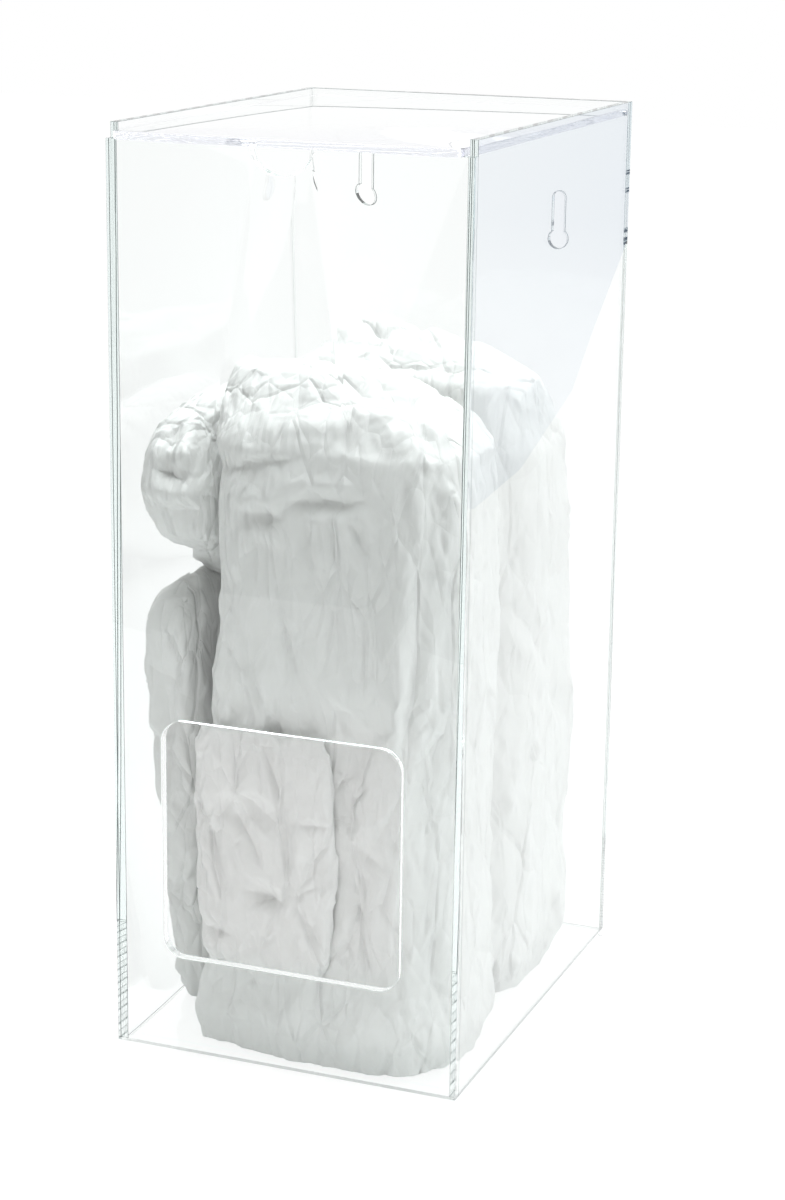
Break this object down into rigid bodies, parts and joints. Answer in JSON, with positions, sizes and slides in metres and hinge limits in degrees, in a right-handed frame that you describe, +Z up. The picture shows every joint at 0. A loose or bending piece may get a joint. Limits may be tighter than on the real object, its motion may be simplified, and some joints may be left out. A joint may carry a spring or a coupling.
{
  "type": "ppe dispenser",
  "caption": "Tall clear box with a hinged lid, a rounded window low in its front and keyholes in its back, part filled with crumpled disposable garments.",
  "frame": {"origin": "middle of the base's underside", "axes": "+Z up the case, +Y from the front panel to the back panel, +X to the right seen from the front"},
  "size_m": [0.216, 0.293, 0.552],
  "materials": {
    "clear_acrylic": "polished",
    "pin_steel": "satin",
    "white_nonwoven": "soft matte"
  },
  "bodies": {
    "case": {"base_panel": "clear_acrylic", "front_panel": "clear_acrylic", "left_side_panel": "clear_acrylic", "right_side_panel": "clear_acrylic", "back_panel": "clear_acrylic", "hinge_pin_left": "pin_steel", "hinge_pin_right": "pin_steel", "garment_front": "white_nonwoven", "garment_rear": "white_nonwoven", "garment_lower_left": "white_nonwoven", "garment_upper_left": "white_nonwoven", "garment_next": "white_nonwoven"},
    "lid": {"lid": "clear_acrylic"}
  },
  "joints": [
    {"name": "lid_hinge", "type": "hinge", "parent": "case", "child": "lid", "pos_m": [0, 0.1345, 0.54573], "axis": [-1, 0, 0], "range_deg": [0, 120]}
  ]
}
